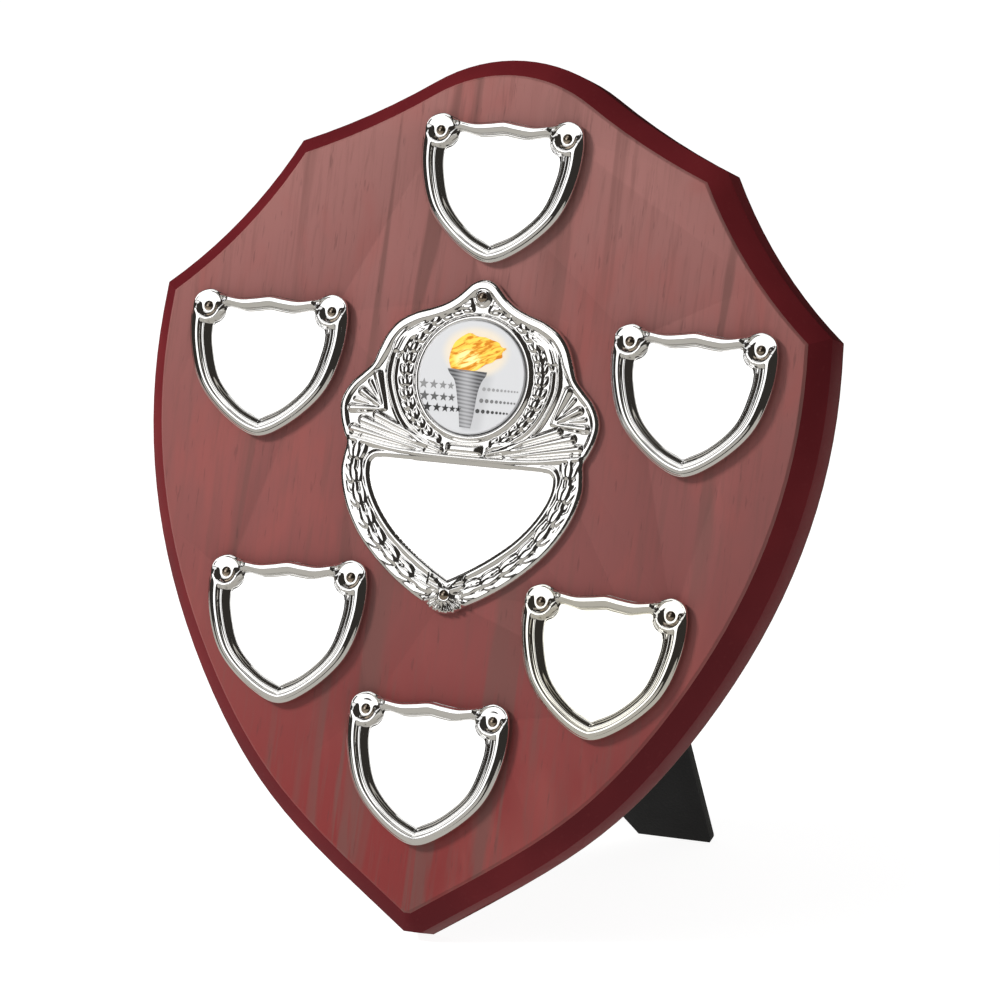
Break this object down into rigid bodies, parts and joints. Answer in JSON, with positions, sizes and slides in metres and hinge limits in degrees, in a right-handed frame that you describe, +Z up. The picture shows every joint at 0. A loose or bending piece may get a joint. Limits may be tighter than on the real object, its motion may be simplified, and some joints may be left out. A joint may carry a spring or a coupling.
{
  "type": "presentation shield plaque",
  "caption": "Wooden shield plaque with pressed metal shields around a laurel centre mount with a printed disc, standing on a hinged rear strut.",
  "frame": {"origin": "centre of the footprint, on the surface that it stands on", "axes": "+Z up, X across the shield, the plates face -Y and the strut stands behind on +Y"},
  "size_m": [0.16, 0.101, 0.1849],
  "materials": {
    "lacquered_board": "gloss mahogany lacquer on fibreboard",
    "rosewood_veneer": "satin rosewood-effect face with dark streaks",
    "back_foil": "plain mahogany-coloured backing foil",
    "pressed_plate": "bright nickel-plated pressed sheet",
    "drive_pins": "nickelled dome heads",
    "printed_disc": "printed grey disc under clear resin",
    "adhesive_pad": "white double-sided tape",
    "hinge_steel": "brass-plated steel",
    "hinge_fixings": "brass-plated heads",
    "strut_black": "black grained plastic"
  },
  "bodies": {
    "plaque": {"board_core": "lacquered_board", "front_veneer": "rosewood_veneer", "back_foil": "back_foil", "centre_mount": "pressed_plate", "centre_disc": "printed_disc", "disc_adhesive_pad": "adhesive_pad", "hinge_board_leaf": "hinge_steel", "hinge_pin": "hinge_steel", "hinge_screws": "hinge_fixings", "side_shield_top": "pressed_plate", "side_shield_upper_left": "pressed_plate", "side_shield_upper_right": "pressed_plate", "side_shield_lower_left": "pressed_plate", "side_shield_lower_right": "pressed_plate", "side_shield_bottom": "pressed_plate", "top_pins": "drive_pins", "upper_left_pins": "drive_pins", "upper_right_pins": "drive_pins", "lower_left_pins": "drive_pins", "lower_right_pins": "drive_pins", "bottom_pins": "drive_pins", "centre_pins": "drive_pins"},
    "strut": {"strut": "strut_black", "hinge_strut_leaf": "hinge_steel", "hinge_rivets": "hinge_fixings"}
  },
  "joints": [
    {"name": "strut_fold", "type": "hinge", "parent": "plaque", "child": "strut", "pos_m": [0, 0.00768, 0.13885], "axis": [-1, 0, 0], "range_deg": [0, 35.2]}
  ]
}
